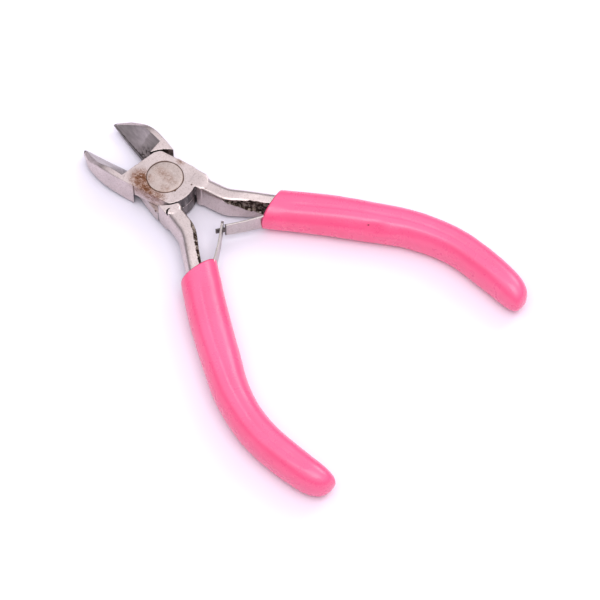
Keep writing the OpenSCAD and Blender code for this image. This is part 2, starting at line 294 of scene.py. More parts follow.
def shank_field(hx, hy, z):
    shank = both(tang_field(hx, hy, z), np.maximum(SHANK_START - hx, hx - LEVER_BACK), SHARP)
    # low under the lap's flat top, so that its front end leaves no line there
    return both(shank, z - HALF_T + SHANK_UNDER * (1 - smoothstep(6.5, 9.0, hx)), SHARP)


def under_field(x, y, z):
    """The blade's underside, which tapers towards the tip, below and beside the cutting edge."""
    t = np.clip((x - UNDER_START) / 14, 1e-3, 1)
    wide, tall = 0.02 + UNDER_WIDE * t, UNDER_TALL * t
    return ((y - 0.05) / wide + (z + HALF_T) / tall - 1) * wide * tall / np.hypot(wide, tall)


def bore_field(radius, z, upper):
    """The room for the rivet: a head's recess and a hole above, a hole and a cone below."""
    if upper:
        recess = both(radius - HEAD_R - 0.03, HALF_T - HEAD_T - 0.05 - z, 0.02)
        return np.minimum(recess, radius - RIVET_R - 0.05)
    cone = np.clip((-z - HALF_T + FOOT_CONE) / FOOT_CONE, 0, 1) * (FOOT_R - RIVET_R)
    return radius - RIVET_R - 0.02 - cone


def lever_field(x, y, z, upper):
    """A closed lever: x runs towards the blade's tip, hx and hy run along and across the handle."""
    hx, hy = -x, -y
    radius = np.hypot(x, y)
    lap = both(radius - LAP_R, np.abs(y) - JOINT_HALF_W, 0.25)
    plan = either(lap, polygon_field(x, y, JAW), SHARP)
    plan = either(plan, polygon_field(hx, hy, CHEEK), 0.3)
    cheek_fall = z - HALF_T + CHEEK_FALL * np.maximum(hx - CHEEK_FALL_START, 0) ** 2
    # edges are softer away from the lap, but crisp again on top near the tip
    soft = smoothstep(7.5, 11, np.abs(x))
    top_r = 0.14 + 0.32 * soft * (1 - 0.8 * smoothstep(17, 23, x))
    body = both(plan, np.maximum(fall_field(x, z), cheek_fall), top_r)
    body = both(body, -z - HALF_T, 0.25 + 0.55 * soft)
    body = either(body, shank_field(hx, hy, z), 0.45)
    body = without(body, bevel_field(x, y, z), SHARP)
    body = both(body, -under_field(x, y, z), 0.12)
    lap_room = both(radius - SHOULDER_R, (z if upper else -z) - LAP_GAP / 2, SHARP)
    body = without(body, lap_room, 0.1)
    body = without(body, bore_field(radius, z, upper), SHARP)
    if not upper:
        body = without(body, pit_field(hx, hy, z), SHARP)
    return without(body, torn_field(hx, hy, z, UPPER_SEED if upper else LOWER_SEED), 0.06)


def surface_net(field, low, high, step):
    """Points and quads of the surface where a field is zero, inside the box low..high."""
    axes = [np.arange(a, b + step, step) for a, b in zip(low, high)]
    values = field(axes[0][:, None, None], axes[1][None, :, None], axes[2][None, None, :])
    values = np.array(np.broadcast_to(values, [len(a) for a in axes]))
    inside = values < 0
    cells = tuple(n - 1 for n in values.shape)
    total = np.zeros(cells + (3,))
    count = np.zeros(cells)
    # one point per cell, at the mean of the places where its edges cross the surface
    for axis in range(3):
        others = [k for k in range(3) if k != axis]
        ahead, behind = [slice(None)] * 3, [slice(None)] * 3
        ahead[axis], behind[axis] = slice(1, None), slice(None, -1)
        v0, v1 = values[tuple(behind)], values[tuple(ahead)]
        crossing = (v0 < 0) != (v1 < 0)
        with np.errstate(divide="ignore", invalid="ignore"):
            t = np.where(crossing, v0 / (v0 - v1), 0)
        for da in (0, 1):
            for db in (0, 1):
                cut = [slice(None)] * 3
                for k, d in zip(others, (da, db)):
                    cut[k] = slice(d, d + cells[k])
                c, tt = crossing[tuple(cut)], t[tuple(cut)]
                count += c
                total[..., axis] += np.where(c, tt, 0)
                for k, d in zip(others, (da, db)):
                    total[..., k] += np.where(c, d, 0)
    active = count > 0
    number = -np.ones(cells, int)
    number[active] = np.arange(active.sum())
    where = np.argwhere(active)
    points = where + total[active] / count[active][:, None]
    points = np.stack([axes[k][0] + points[:, k] * step for k in range(3)], 1)
    # one quad round each grid edge that crosses the surface
    quads = []
    for axis in range(3):
        u, v = (axis + 1) % 3, (axis + 2) % 3
        ahead, behind = [slice(None)] * 3, [slice(None)] * 3
        ahead[axis], behind[axis] = slice(1, None), slice(None, -1)
        a, b = inside[tuple(behind)], inside[tuple(ahead)]
        spots = np.argwhere(a != b)
        su, sv = spots[:, u], spots[:, v]
        spots = spots[(su > 0) & (sv > 0) & (su < cells[u]) & (sv < cells[v])]
        out = a[tuple(spots.T)]
        corners = []
        for du, dv in ((-1, -1), (0, -1), (0, 0), (-1, 0)):
            cell = spots.copy()
            cell[:, u] += du
            cell[:, v] += dv
            corners.append(number[tuple(cell.T)])
        q = np.stack(corners, 1)
        q[~out] = q[~out][:, ::-1]
        quads.append(q)
    return points, np.concatenate(quads)


def gradient(field, p, e=0.01):
    """The unit direction in which the field grows."""
    g = np.stack([field(*(p + d).T) - field(*(p - d).T) for d in np.eye(3) * e], 1)
    return g / np.maximum(np.linalg.norm(g, axis=1), 1e-9)[:, None]


def settle(field, points, rounds=3, most=0.12):
    """Moves points onto the zero surface along the field's slope."""
    for _ in range(rounds):
        d = np.clip(field(*points.T), -most, most)
        points = points - gradient(field, points) * d[:, None]
    return points


# ---------------------------------------------------------------- levers
GRID = 0.15                                         # spacing of the grid that a lever is cut from
TAIL_START, TAIL_ROWS, TAIL_SIDES = 0.5, 40, 40     # the tang inside the sleeve, unseen


def tang_rings(start, count, sides):
    """Rings of points round the tang, from start to its end."""
    rings = []
    for t in np.linspace(start, 1, count):
        c = curve(TANG_LINE, t)
        d = curve(TANG_LINE, min(t + 0.002, 1)) - curve(TANG_LINE, max(t - 0.002, 0))
        d = d[:2] / np.hypot(*d[:2])
        a = 2 * np.pi * (np.arange(sides) + 0.5) / sides
        power = 2 / np.where(np.cos(a) < 0, 8.0, 2.8)
        across = c[2] * np.sign(np.cos(a)) * np.abs(np.cos(a)) ** power
        rings.append(np.stack([c[0] - d[1] * across, c[1] + d[0] * across,
                               c[3] * np.sign(np.sin(a)) * np.abs(np.sin(a)) ** power], 1))
    return np.array(rings)


def tube_faces(rows, sides, first=0):
    """Quads between rings of points, with a face over each end."""
    faces = [(first + i * sides + k, first + i * sides + (k + 1) % sides,
              first + (i + 1) * sides + (k + 1) % sides, first + (i + 1) * sides + k)
             for i in range(rows - 1) for k in range(sides)]
    faces.append(tuple(first + k for k in reversed(range(sides))))
    faces.append(tuple(first + (rows - 1) * sides + k for k in range(sides)))
    return faces


def lever_masks(points, normals, upper):
    """Which points of a lever are ground, torn, on the land under the edge that is painted dark as
    shade, or on walls painted dark as shade with some soot.
    """
    x, y, z = points.T
    ground = (np.abs(bevel_field(x, y, z)) < 0.03) & (x > EDGE[0, 0])
    torn = np.abs(torn_field(-x, -y, z, UPPER_SEED if upper else LOWER_SEED)) < 0.05
    below_edge = z < np.interp(x, EDGE[:, 0], EDGE[:, 2]) + 0.08
    # painted shade: the faces under the cutting edge that face the gap, and the tip's front face,
    # are marked to be painted dark
    land_shade = (normals[:, 1] < -0.6) & (x > 7.0) & (y < 1.4) & below_edge
    land_shade = land_shade | ((x > JAW_LEN - 0.7) & (normals[:, 0] > 0.55))
    radius = np.hypot(x, y)
    # painted shade, with some soot: the upright walls at the lap's crotch, at the shoulder and in
    # the casting pit are marked to be painted dark
    crotch = (np.abs(radius - LAP_R) < 0.15) & (x < -2) & (y > -2.5)
    soot_and_shade = (np.abs(normals[:, 2]) < 0.5) & (crotch | (np.abs(radius - SHOULDER_R) < 0.15))
    if not upper:
        soot_and_shade = soot_and_shade | (np.abs(pit_field(-x, -y, z)) < 0.04)
    return {"ground": ground, "torn": torn, "land_shade": land_shade, "soot_and_shade": soot_and_shade}


def make_lever(name, node, body, upper):
    def field(x, y, z):
        return lever_field(x, y, z, upper)
    points, quads = surface_net(field, (-LEVER_BACK - 0.6, -14.2, -HALF_T - 0.4),
                                (JAW_LEN + 0.6, JOINT_HALF_W + 0.6, HALF_T + 0.4), GRID)
    points = settle(field, points)
    normals = gradient(field, points, 0.02)
    masks = lever_masks(points, normals, upper)
    rings = tang_rings(TAIL_START, TAIL_ROWS, TAIL_SIDES)
    tail = rings.reshape(-1, 3)
    world = np.concatenate([to_world(points, upper), to_world(tail, upper, in_handle=True)])
    faces = [tuple(f) for f in quads.tolist()]
    faces += tube_faces(len(rings), rings.shape[1], first=len(points))
    if not upper:
        faces = turned(faces)
    unmarked = np.zeros(len(tail))
    piece = new_mesh(name, world, faces, layers={
        key: np.concatenate([mask.astype(float), unmarked]) for key, mask in masks.items()})
    # exact normals from the field on the forged part; the mesh's own normals on the tail
    flat = np.zeros(len(world) * 3, np.float32)
    piece.data.vertices.foreach_get("normal", flat)
    every = flat.reshape(-1, 3).astype(float)
    every[:len(points)] = to_world(normals, upper) / MM - np.array([0, 0, MID_Z])
    piece.data.normals_split_custom_set_from_vertices(every.tolist())
    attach(piece, body)
    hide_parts(node)
    return piece


# ---------------------------------------------------------------- grips
GRIP_CAP, GRIP_WALL, MOUTH_LEAN, GRIP_SEAT_LOWER, TIP_SIDE = 0.11, 0.85, 0.44, 0.7, 0.5
MOUTH_DRIFT = 0.4                                   # sideways shift of the mouth for each mm back
TOP_POWER, FOOT_POWER, END_POWER = 2.25, 2.8, 2.2   # how square the sleeve's sections are
LIP = 0.32                                          # how far the mouth's rounded edge stands out
GRIP_SIDES, GRIP_ROWS, CAP_ROWS, INNER_ROWS, LIP_ROWS = 120, 149, 25, 60, 9
# the small lump on the inner side of the upper sleeve, the dent behind it, and one by its mouth:
# how far out, where, and how wide
UPPER_DENTS = ((0.38, (55.5, 13.6, 2.0), (2.2, 3.0, 2.6)),
               (-0.42, (51.5, 13.0, 3.2), (1.7, 2.6, 1.8)),
               (-0.10, (30.5, 5.0, 3.0), (1.4, 2.0, 1.4)))


def grip_place(t, angle, grow, seat):
    """A point of the plain sleeve at t along it and at an angle round it."""
    c = curve(GRIP_LINE, t)
    d = curve(GRIP_LINE, np.minimum(t + 0.002, 1)) - curve(GRIP_LINE, np.maximum(t - 0.002, 0))
    d = d[..., :2] / np.hypot(d[..., 0], d[..., 1])[..., None]
    q = np.maximum(0, (t - (1 - GRIP_CAP)) / GRIP_CAP)
    fade = np.maximum(0.02, (1 - np.minimum(q, 1) ** END_POWER) ** (1 / END_POWER))
    ca, sa = np.cos(angle), np.sin(angle)
    power = 2 / np.where(sa > 0, TOP_POWER, FOOT_POWER)
    w, h = (c[..., 2] + grow) * fade, (c[..., 3] + grow) * fade
    across = w * np.sign(ca) * np.abs(ca) ** power - TIP_SIDE * c[..., 2] * (1 - fade)
    up = h * np.sign(sa) * np.abs(sa) ** power
    lean = MOUTH_LEAN * np.maximum(0, 1 - t / 0.25)
    x = c[..., 0] - d[..., 1] * across + d[..., 0] * lean * across - seat
    y = c[..., 1] + d[..., 0] * across + d[..., 1] * lean * across - MOUTH_DRIFT * seat
    return np.stack([x, y, up], -1)


def sleeve_wave(x, y, z, side, seed, upper):
    """How far the outer wall stands out from the plain sleeve. side is 1 towards the camera."""
    wave = 0.07 * lattice_noise(x, y, z, 7.0, seed) + 0.035 * lattice_noise(x, y, z, 2.6, seed + 1)
    for out, centre, width in UPPER_DENTS if upper else ():
        near = sum(((v - c) / w) ** 2 for v, c, w in zip((x, y, z), centre, width))
        wave += out * np.exp(-near)
    # a crease along the top, with a fuller shoulder on the side that faces the camera
    along = smoothstep(27, 33, x) * (1 - smoothstep(80, 87, x)) * (z > 0)
    wander = 0.06 * lattice_noise(x, 0 * x, 0 * x, 9.0, seed + 2)
    wave -= along * 0.24 * np.exp(-((side - 0.06 - wander) / 0.08) ** 2)
    wave += along * 0.22 * np.exp(-((side - 0.48 - wander) / 0.22) ** 2)
    return wave


def make_grip(name, node, body, upper):
    seat = 0 if upper else GRIP_SEAT_LOWER
    angle = 2 * np.pi * (np.arange(GRIP_SIDES) + 0.5) / GRIP_SIDES

    def ring_at(t, grow):
        return grip_place(np.full(GRIP_SIDES, float(t)), angle, grow, seat)

    inner = [ring_at(t, -GRIP_WALL) for t in np.linspace(0.9, 0.004, INNER_ROWS)]
    # the lip: a rounded edge from the inner wall to the outer wall
    lip = []
    for turn in np.linspace(0, np.pi, LIP_ROWS):
        ring = ring_at(0, -GRIP_WALL / 2 - GRIP_WALL / 2 * math.cos(turn))
        forward = LIP * math.sin(turn) * 0.9 - LIP
        ring[:, 0] -= forward
        ring[:, 1] -= forward * MOUTH_DRIFT
        lip.append(ring)
    body_t = np.linspace(0, 1 - GRIP_CAP, GRIP_ROWS + 1)[1:]
    cap_t = 1 - GRIP_CAP + GRIP_CAP * np.sin(np.linspace(0, np.pi / 2, CAP_ROWS + 1)[1:])
    outer = [ring_at(t, 0) for t in np.concatenate([body_t, cap_t])]
    rings = inner + lip + outer
    points = np.concatenate(rings)
    x, y, z = points.T
    centre = curve(GRIP_LINE, np.clip((x - GRIP_LINE[0][0]) / 66.0, 0, 1))
    away = np.stack([np.zeros_like(x), y - centre[:, 1], z], 1)
    away /= np.maximum(np.linalg.norm(away, axis=1), 1e-6)[:, None]
    side = np.tile(np.cos(angle) * (-1 if upper else 1), len(rings))
    wave = sleeve_wave(x, y, z, side, 5 if upper else 9, upper)
    wave[:(len(inner) + LIP_ROWS // 2) * GRIP_SIDES] = 0
    points = points + away * wave[:, None]
    points[:, 2] = np.maximum(points[:, 2], FLOOR_Z / MM - MID_Z)
    world = to_world(points, upper, in_handle=True)
    faces = tube_faces(len(rings), GRIP_SIDES)
    piece = new_mesh(name, world, faces if upper else turned(faces))
    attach(piece, body)
    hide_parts(node)
    return piece


# ---------------------------------------------------------------- leaf springs
LEAF_FORWARD = -np.array([math.cos(LEAF_ANGLE), math.sin(LEAF_ANGLE)])   # from root to tip
LEAF_REAR_SIDE = np.array([math.sin(LEAF_ANGLE), -math.cos(LEAF_ANGLE)])
LEAF_BOW, LEAF_BOW_SPAN = 0.22, 10.9                # how far the free blade bows, over what length
LEAF_STEP = 0.22                                    # length of one row of faces
LEAF_NOSE, LEAF_NOSE_HALF = 1.7, 0.3                # the slotted blade's rounded end
LEAF_EDGE = 0.09                                    # width of the strip's broken edges
BLEND_REACH = 3.0                                   # a distance each side of the root; make_leaf works out two points there and does not use them
# places across the strip, from -1 to 1: the middle half is the tongue's or the slot's width
LEAF_ROWS = np.array([-1, -0.9, -0.75, -0.6, -0.5, -0.25, 0, 0.25, 0.5, 0.6, 0.75, 0.9, 1])


def leaf_path():
    """Centreline of a leaf in the handle's frame: points, and distances from its root."""
    tail = [TAIL_END, TAIL_BEND, LEAF_ROOT]
    pts = []
    for a, b in zip(tail, tail[1:]):
        n = max(2, int(np.hypot(*(b - a)) / 0.3))
        pts += [a + (b - a) * i / n for i in range(n)]
    pts = np.array(pts)
    for _ in range(6):
        pts[1:-1] = (pts[:-2] + 2 * pts[1:-1] + pts[2:]) / 4
    s = np.linspace(0, SLOTTED_END, 60)
    bow = LEAF_BOW * np.sin(np.pi * np.clip(s / LEAF_BOW_SPAN, 0, 1.25))
    blade = LEAF_ROOT + s[:, None] * LEAF_FORWARD + bow[:, None] * LEAF_REAR_SIDE
    line = np.concatenate([pts, blade])
    gone = np.concatenate([[0], np.cumsum(np.hypot(*np.diff(line, axis=0).T))])
    return line, gone - gone[len(pts)]


def leaf_stations(marks):
    """Distances from the root, close together and with one exactly at each mark."""
    stations = [marks[0]]
    for a, b in zip(marks, marks[1:]):
        n = max(2, int(round((b - a) / LEAF_STEP)))
        stations += [a + (b - a) * (i + 1) / n for i in range(n)]
    return np.array(stations)


def leaf_heights(stations, upper):
    """The height of each row at each station."""
    hole = (TONGUE_H if upper else SLOT_H) / 2
    half = np.interp(stations, [0, LEAF_SHOULDER], [LEAF_H / 2, LEAF_TIP_H / 2])
    if not upper:
        nose = np.clip((stations - (SLOTTED_END - LEAF_NOSE)) / LEAF_NOSE, 0, 1)
        taper = (half - LEAF_NOSE_HALF) * (1 - nose ** 1.5)
        half = np.maximum(LEAF_NOSE_HALF, LEAF_NOSE_HALF + taper)
    inner = np.minimum(hole, 0.62 * half)
    outside = inner[:, None] + (np.abs(LEAF_ROWS) - 0.5) * 2 * (half - inner)[:, None]
    return np.where(np.abs(LEAF_ROWS) <= 0.5, LEAF_ROWS * 2 * inner[:, None],
                    np.sign(LEAF_ROWS) * outside)


def strip_faces(keep, index):
    """Both sides of the kept cells of a strip, and a wall along every open edge."""
    faces = []
    n, m = keep.shape
    for i, k in np.argwhere(keep).tolist():
        ring = [(i, k), (i + 1, k), (i + 1, k + 1), (i, k + 1)]
        beyond = (i, k - 1), (i + 1, k), (i, k + 1), (i - 1, k)
        faces.append(tuple(index[1, a, b] for a, b in ring))
        faces.append(tuple(index[-1, a, b] for a, b in reversed(ring)))
        for a, b, other in zip(ring, ring[1:] + ring[:1], beyond):
            if not (0 <= other[0] < n and 0 <= other[1] < m) or not keep[other]:
                faces.append((index[(1, *b)], index[(1, *a)], index[(-1, *a)], index[(-1, *b)]))
    return faces


def make_leaf(name, nodes, upper):
    line, gone = leaf_path()
    first = gone[0] + 0.01
    stations = leaf_stations([first, LEAF_SHOULDER, TONGUE_END] if upper
                             else [first, SLOT_START, SLOT_END, SLOTTED_END])
    height = leaf_heights(stations, upper)
    middle = ((stations[:-1] + stations[1:]) / 2)[:, None]
    centre = (np.abs((LEAF_ROWS[:-1] + LEAF_ROWS[1:]) / 2) < 0.5)[None, :]
    if upper:
        keep = (middle < LEAF_SHOULDER) | centre
    else:
        keep = ~((middle > SLOT_START) & (middle < SLOT_END) & centre)
    x = np.interp(stations, gone, line[:, 0])
    y = np.interp(stations, gone, line[:, 1])
    tx, ty = np.gradient(x), np.gradient(y)
    size = np.hypot(tx, ty)
    nx, ny = -ty / size, tx / size
    points, index = [], {}
    for side in (-1, 1):
        for i in range(len(stations)):
            px, py = x[i] + nx[i] * side * LEAF_T / 2, y[i] + ny[i] * side * LEAF_T / 2
            for k in range(len(LEAF_ROWS)):
                index[side, i, k] = len(points)
                points.append((px, py, height[i, k]))
    faces = strip_faces(keep, index)
    used = sorted({v for f in faces for v in f})
    renumber = {v: j for j, v in enumerate(used)}
    faces = [tuple(renumber[v] for v in f) for f in faces]
    points = np.array(points)[used]
    world = to_world(points, upper, in_handle=True)
    along = np.tile(np.repeat(stations, len(LEAF_ROWS)), 2)[used]
    # painted shadow, with some soot: the tongue beyond its shoulder and the slotted leaf round the
    # slot are marked to be painted dark
    if upper:
        soot_and_shade = along > LEAF_SHOULDER - 0.3
    else:
        soot_and_shade = ((along > SLOT_START - 0.35) & (along < SLOT_END + 0.25)
                & (np.abs(points[:, 2]) < SLOT_H / 2 + 0.35))
    piece = new_mesh(name, world, faces if upper else turned(faces),
                     layers={"soot_and_shade": soot_and_shade.astype(float)})
    bevel = piece.modifiers.new("edges", "BEVEL")
    bevel.width = LEAF_EDGE * MM
    bevel.segments = 2
    bevel.limit_method = "ANGLE"
    bevel.angle_limit = math.radians(40)
    bevel.harden_normals = False
    apply_modifiers(piece)
    spots = [np.append(LEAF_ROOT + LEAF_FORWARD * s, 0) for s in (-BLEND_REACH, BLEND_REACH)]
    start, stop = to_world(np.array(spots), upper, in_handle=True)
    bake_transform(piece)
    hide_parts(*nodes)
    return piece


def apply_modifiers(piece):
    """Puts the modified mesh in place of the piece's own."""
    graph = bpy.context.evaluated_depsgraph_get()
    mesh = bpy.data.meshes.new_from_object(piece.evaluated_get(graph))
    old = piece.data
    piece.modifiers.clear()
    piece.data = mesh
    bpy.data.meshes.remove(old)


# ---------------------------------------------------------------- rivet
RIVET_SIDES = 128


def make_rivet():
    """The pivot rivet: a flush head with a broken edge, a shaft and a spread foot."""
    top, neck, bottom = HALF_T, HALF_T - HEAD_T, -HALF_T
    # radius and height, from the middle of the head to the middle of the foot
    profile = [(0.0, top - 0.02), (1.5, top - 0.015), (3.0, top - 0.015),
               (HEAD_R - 0.12, top - 0.02), (HEAD_R - 0.05, top - 0.035),
               (HEAD_R - 0.01, top - 0.07), (HEAD_R, top - 0.12),
               (HEAD_R, neck + 0.06), (HEAD_R - 0.06, neck), (RIVET_R, neck),
               (RIVET_R, bottom + FOOT_CONE), (FOOT_R - 0.12, bottom + 0.14),
               (FOOT_R - 0.14, bottom + 0.03), (FOOT_R - 0.3, bottom), (0.0, bottom)]
    points, faces = [(0, 0, profile[0][1])], []
    rows = profile[1:-1]
    for r, z in rows:
        for k in range(RIVET_SIDES):
            a = 2 * math.pi * k / RIVET_SIDES
            points.append((r * math.cos(a), r * math.sin(a), z))
    points.append((0, 0, profile[-1][1]))
    last = 1 + (len(rows) - 1) * RIVET_SIDES
    for k in range(RIVET_SIDES):
        j = (k + 1) % RIVET_SIDES
        faces.append((0, 1 + k, 1 + j))
        faces.append((len(points) - 1, last + j, last + k))
        for i in range(len(rows) - 1):
            a, b = 1 + i * RIVET_SIDES, 1 + (i + 1) * RIVET_SIDES
            faces.append((a + k, b + k, b + j, a + j))
    points = np.array(points)
    points[:, 2] += MID_Z
    piece = new_mesh("rivet_pin", points * MM, faces)
    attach(piece, "lower_half")
    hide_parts("pivot_rivet")
    return piece


# ---------------------------------------------------------------- materials
class Shader:
    """A short way to write node trees, in the piece's own coordinates."""

    def __init__(self, name):
        self.material = bpy.data.materials.new(name)
        self.material.use_nodes = True
        self.tree = self.material.node_tree
        self.tree.nodes.clear()
        self.out = self.node("ShaderNodeOutputMaterial")
        self.bsdf = self.node("ShaderNodeBsdfPrincipled")
        self.tree.links.new(self.bsdf.outputs[0], self.out.inputs["Surface"])
        self.coords = self.node("ShaderNodeTexCoord").outputs["Object"]

    def node(self, kind, **values):
        n = self.tree.nodes.new(kind)
        for k, v in values.items():
            setattr(n, k, v)
        return n

    def put(self, socket, value):
        if isinstance(value, bpy.types.NodeSocket):
            self.tree.links.new(value, socket)
        elif isinstance(value, (tuple, list)) and len(value) == 3 and socket.type == "RGBA":
            socket.default_value = (*value, 1)
        else:
            socket.default_value = value

    def math(self, op, a, b=0.0, clamp=False):
        n = self.node("ShaderNodeMath", operation=op, use_clamp=clamp)
        for s, v in zip(n.inputs, (a, b)):
            self.put(s, v)
        return n.outputs[0]

    def times(self, a, b, clamp=False):
        return self.math("MULTIPLY", a, b, clamp)

    def plus(self, a, b):
        return self.math("ADD", a, b)

    def minus(self, a, b):
        return self.math("SUBTRACT", a, b)

    def place(self, seed, stretch=None):
        """Coordinates shifted by the seed, and scaled and turned by stretch."""
        m = self.node("ShaderNodeMapping")
        self.put(m.inputs["Vector"], self.coords)
        m.inputs["Location"].default_value = (seed * 0.37, seed * 0.21, seed * 0.11)
        if stretch is not None:
            m.inputs["Scale"].default_value, m.inputs["Rotation"].default_value = stretch
        return m.outputs[0]

    def noise(self, scale, detail, rough=0.5, stretch=None, seed=0.0, distort=0.0):
        place = self.place(seed, stretch)
        n = self.node("ShaderNodeTexNoise")
        self.put(n.inputs["Vector"], place)
        n.inputs["Scale"].default_value = scale
        n.inputs["Detail"].default_value = detail
        n.inputs["Roughness"].default_value = rough
        n.inputs["Distortion"].default_value = distort
        return n.outputs["Fac"]

    def cells(self, scale, seed):
        place = self.place(seed)
        n = self.node("ShaderNodeTexVoronoi", feature="F1")
        self.put(n.inputs["Vector"], place)
        n.inputs["Scale"].default_value = scale
        return n.outputs["Distance"]

    def band(self, value, lo, hi, out_lo=0.0, out_hi=1.0):
        """A smooth step from out_lo to out_hi as the value goes from lo to hi."""
        n = self.node("ShaderNodeMapRange", interpolation_type="SMOOTHSTEP")
        for s, v in zip(n.inputs, (value, lo, hi, out_lo, out_hi)):
            self.put(s, v)
        return n.outputs[0]

    def mix(self, fac, a, b):
        n = self.node("ShaderNodeMix", data_type="RGBA", blend_type="MIX")
        self.put(n.inputs["Factor"], fac)
        self.put(n.inputs[6], a)
        self.put(n.inputs[7], b)
        return n.outputs[2]

    def attribute(self, name):
        return self.node("ShaderNodeAttribute", attribute_name=name).outputs["Fac"]

    def axes(self):
        n = self.node("ShaderNodeSeparateXYZ")
        self.put(n.inputs[0], self.coords)
        return n.outputs[0], n.outputs[1], n.outputs[2]

    def near(self, x, y, z, radius, soft=0.5, squash=(1, 1, 1)):
        """1 close to a spot given in mm, 0 beyond radius mm."""
        total = 0.0
        for a, v, k in zip(self.axes(), (x, y, z), squash):
            d = self.times(self.minus(a, v * MM), k)
            total = self.plus(self.times(d, d), total)
        return self.band(self.math("SQRT", total), radius * MM, radius * soft * MM)

    def bump(self, height, strength, distance, normal=None):
        n = self.node("ShaderNodeBump")
        n.inputs["Strength"].default_value = strength
        n.inputs["Distance"].default_value = distance
        self.put(n.inputs["Height"], height)
        if normal is not None:
            self.put(n.inputs["Normal"], normal)
        return n.outputs[0]

    def finish(self, color, roughness, normal=None, **fixed):
        self.put(self.bsdf.inputs["Base Color"], color)
        self.put(self.bsdf.inputs["Roughness"], roughness)
        if normal is not None:
            self.put(self.bsdf.inputs["Normal"], normal)
        for k, v in fixed.items():
            self.bsdf.inputs[k].default_value = v
        return self.material


PLATE, RIVET, SPRING = (0.66, 0.565, 0.55), (0.57, 0.475, 0.44), (0.54, 0.49, 0.47)
WORN, BRIGHT, GRAIN = (0.42, 0.345, 0.32), (0.78, 0.70, 0.70), (0.30, 0.235, 0.21)
# the first colour here is painted shade for corners and hollows, mixed with grime
GRIME_AND_SHADE, SPECK, PIT = (0.10, 0.075, 0.065), (0.035, 0.028, 0.024), (0.05, 0.04, 0.035)
GROUND = (0.44, 0.385, 0.38), (0.58, 0.52, 0.51)    # the bevel, between two shades
# painted shade for the land under the cutting edge and the tip's front face, between two shades
LAND_SHADE = (0.035, 0.026, 0.022), (0.15, 0.125, 0.115)
# painted shade with some soot for the upright walls in the lap's hollows and the pit, between two
# shades
SOOT_AND_SHADE = (0.035, 0.030, 0.030), (0.19, 0.165, 0.165)
# painted shadow with some soot for the springs where the tongue passes through the slot
SPRING_SOOT_AND_SHADE = (0.05, 0.042, 0.040)
SCALE = (0.055, 0.032, 0.024), (0.50, 0.42, 0.37)   # the torn band
HAZE, RUST, RUST_GRAIN = (0.46, 0.28, 0.20), (0.21, 0.085, 0.042), (0.12, 0.052, 0.032)
SPOT, RING = (0.09, 0.045, 0.025), (0.13, 0.062, 0.035)
VINYL, VINYL_DOT = ((0.97, 0.108, 0.262), (0.99, 0.124, 0.290)), (0.30, 0.03, 0.05)
PAPER = (0.885, 0.85, 0.95), (0.90, 0.865, 0.965)
PITTED = (9.0, 1.6, 3.0, 5.4), (9.0, -1.6, 3.0, 5.4)    # where the bevels are pitted, and how far
ROUND, FLAT = (1, 1, 1), (1, 1, 0.6)                # how a stain is squashed along x, y and z


def forged_marks(s, color, roughness, seed):
    """The ground bevel with its pits, the land painted dark as shade, the walls painted dark as
    shade with some soot, and the torn band.
    """
    ground = s.attribute("ground")
    lines = s.noise(1600, 2, stretch=((0.12, 1, 1), (0, 0, 0.9)), seed=seed + 7)
    color = s.mix(ground, color, s.mix(s.band(lines, 0.3, 0.7), *GROUND))
    pits = s.band(s.noise(1500, 3, 0.6, seed=seed + 9), 0.50, 0.60)
    for x, y, z, r in PITTED:
        pit = s.times(s.times(pits, s.near(x, y, z, r, 0.35)), ground)
        color = s.mix(s.times(pit, 0.9), color, PIT)
    smear = s.band(s.noise(500, 3, 0.6, seed=seed + 15), 0.35, 0.65)
    # the land under the edge and the tip's front face painted dark as shade
    color = s.mix(s.attribute("land_shade"), color, s.mix(smear, *LAND_SHADE))
    # the hollow walls painted dark as shade, streaked like soot
    streak = s.noise(700, 4, 0.65, stretch=((1, 1, 0.25), (0, 0, 0)), seed=seed + 17)
    streaks = s.mix(s.band(streak, 0.42, 0.62), *SOOT_AND_SHADE)
    color = s.mix(s.times(s.attribute("soot_and_shade"), 0.92), color, streaks)
    torn = s.attribute("torn")
    crust = s.band(s.noise(1100, 4, 0.7, seed=seed + 12), 0.46, 0.60)
    color = s.mix(torn, color, s.mix(crust, *SCALE))
    return color, s.plus(roughness, s.times(torn, 0.35))


def rust_stain(s, color, roughness, fine, seed, stain):
    """A cloud of rust round a spot: haze, rust in patches, and dark grains."""
    x, y, z, r, squash, amount = stain
    cloud = s.band(s.noise(800, 5, 0.75, seed=seed + 20 + x, distort=0.4), 0.40, 0.60)
    soft = s.near(x, y, z, r, 0.15, squash)
    patches = s.times(s.times(cloud, soft), amount, clamp=True)
    color = s.mix(s.times(soft, 0.38 * amount, clamp=True), color, HAZE)
    color = s.mix(patches, color, RUST)
    grains = s.times(s.band(fine, 0.50, 0.60), s.times(soft, 0.75 * amount))
    return s.mix(grains, color, RUST_GRAIN), s.plus(roughness, s.times(patches, 0.25))


def ring_line(s, color, radius, seed):
    """The dirty line round the rivet's head, of uneven strength, on the top face only."""
    ax, ay, az = s.axes()
    wobble = s.times(s.minus(s.noise(420, 3, 0.6, seed=seed + 31), 0.5), 0.30 * MM)
    r = s.math("SQRT", s.plus(s.times(ax, ax), s.times(ay, ay)))
    off = s.math("ABSOLUTE", s.minus(s.plus(r, wobble), radius * MM))
    line = s.band(off, 0.24 * MM, 0.06 * MM)
    strength = s.band(s.noise(170, 2, seed=seed + 33), 0.35, 0.6, 0.15, 0.9)
    top = s.band(az, (TOP - 0.5) * MM, (TOP - 0.3) * MM)
    return s.mix(s.times(s.times(line, strength), top), color, RING)


